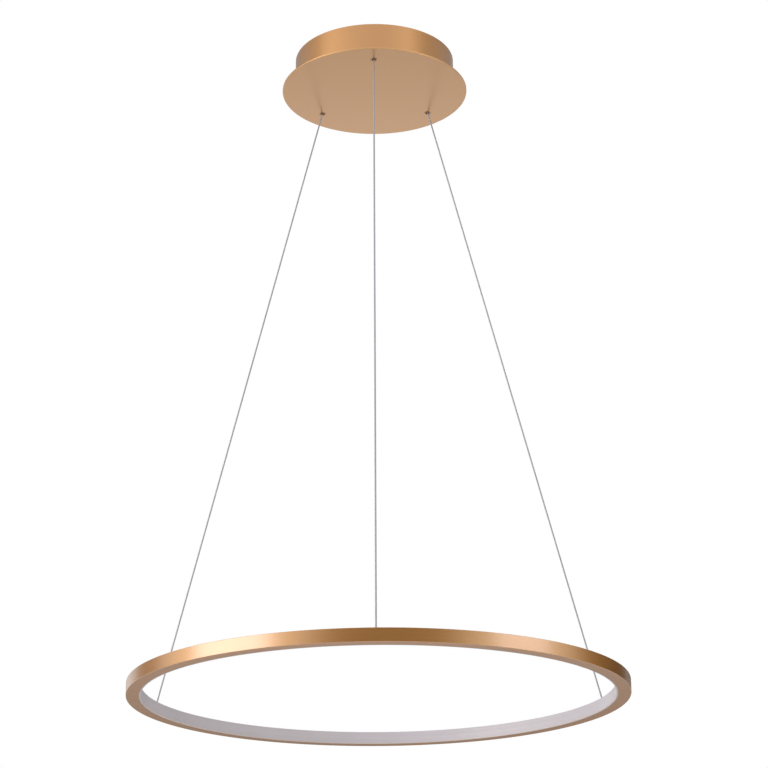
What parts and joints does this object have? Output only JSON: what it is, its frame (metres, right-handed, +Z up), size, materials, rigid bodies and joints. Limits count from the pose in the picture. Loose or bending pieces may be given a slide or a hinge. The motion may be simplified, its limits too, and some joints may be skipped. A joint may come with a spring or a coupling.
{
  "type": "led ring chandelier",
  "caption": "Slim LED ring pendant, hung level on splayed power cables from a round two-step ceiling canopy, with an opal diffuser on the ring's inner side.",
  "frame": {"origin": "on the ceiling plane, at the middle of the bracket's slot pattern and on the common axis of canopy and ring", "axes": "+Z up towards the ceiling, -Y towards the front cable, +X to the right"},
  "size_m": [0.6, 0.5998, 0.8528],
  "materials": {
    "ring_gold": "brushed and anodised gold",
    "canopy_gold": "satin gold lacquer",
    "screw_gold": "satin gold lacquer",
    "opal": "opal, satin",
    "plain_aluminium": "mill finish",
    "led_phosphor": "phosphor",
    "zinc_steel": "zinc plated",
    "nickel_plate": "nickel plated",
    "spring_steel": "drawn wire",
    "ferrule_brass": "plain",
    "cable_sheath": "clear sheath over a silver-grey conductor",
    "driver_white": "moulded, fine grain",
    "terminal_plastic": "natural polyamide",
    "lead_sleeve": "insulated lead"
  },
  "bodies": {
    "canopy": {"ceiling_bracket": "zinc_steel", "canopy_drum": "canopy_gold", "canopy_plate": "canopy_gold", "canopy_screws": "screw_gold", "led_driver": "driver_white", "driver_screws": "zinc_steel", "terminal_block": "terminal_plastic", "terminal_screws": "zinc_steel", "earth_terminal": "zinc_steel", "mains_leads": "lead_sleeve", "feed_leads": "cable_sheath", "gripper_bush_front": "nickel_plate", "gripper_barrel_front": "nickel_plate", "gripper_spring_front": "spring_steel", "cable_front": "cable_sheath", "cable_tail_front": "cable_sheath", "gripper_bush_right": "nickel_plate", "gripper_barrel_right": "nickel_plate", "gripper_spring_right": "spring_steel", "cable_right": "cable_sheath", "cable_tail_right": "cable_sheath", "gripper_bush_left": "nickel_plate", "gripper_barrel_left": "nickel_plate", "gripper_spring_left": "spring_steel", "cable_left": "cable_sheath", "cable_tail_left": "cable_sheath"},
    "ring": {"ring_front": "ring_gold", "ring_rear": "ring_gold", "diffuser_front": "opal", "diffuser_rear": "opal", "led_strip": "plain_aluminium", "led_packages": "led_phosphor", "splice_bar_right": "plain_aluminium", "splice_bar_left": "plain_aluminium", "splice_screws": "zinc_steel", "socket_nuts": "nickel_plate", "strip_leads": "lead_sleeve", "socket_front": "nickel_plate", "cable_crimp_front": "ferrule_brass", "socket_right": "nickel_plate", "cable_crimp_right": "ferrule_brass", "socket_left": "nickel_plate", "cable_crimp_left": "ferrule_brass"},
    "release_front": {"gripper_plunger_front": "nickel_plate"},
    "release_right": {"gripper_plunger_right": "nickel_plate"},
    "release_left": {"gripper_plunger_left": "nickel_plate"}
  },
  "joints": [
    {"name": "ring_height", "type": "slide", "parent": "canopy", "child": "ring", "axis": [0, 0, 1], "range_m": [0, 0.45], "deforming": ["cable_front", "cable_right", "cable_left"]},
    {"name": "gripper_release_front", "type": "slide", "parent": "canopy", "child": "release_front", "axis": [0, 0, 1], "range_m": [0, 0.002], "stiffness_N_per_m": 600, "springref_m": -0.002, "deforming": ["gripper_spring_front"]},
    {"name": "gripper_release_right", "type": "slide", "parent": "canopy", "child": "release_right", "axis": [0, 0, 1], "range_m": [0, 0.002], "stiffness_N_per_m": 600, "springref_m": -0.002, "deforming": ["gripper_spring_right"]},
    {"name": "gripper_release_left", "type": "slide", "parent": "canopy", "child": "release_left", "axis": [0, 0, 1], "range_m": [0, 0.002], "stiffness_N_per_m": 600, "springref_m": -0.002, "deforming": ["gripper_spring_left"]}
  ]
}
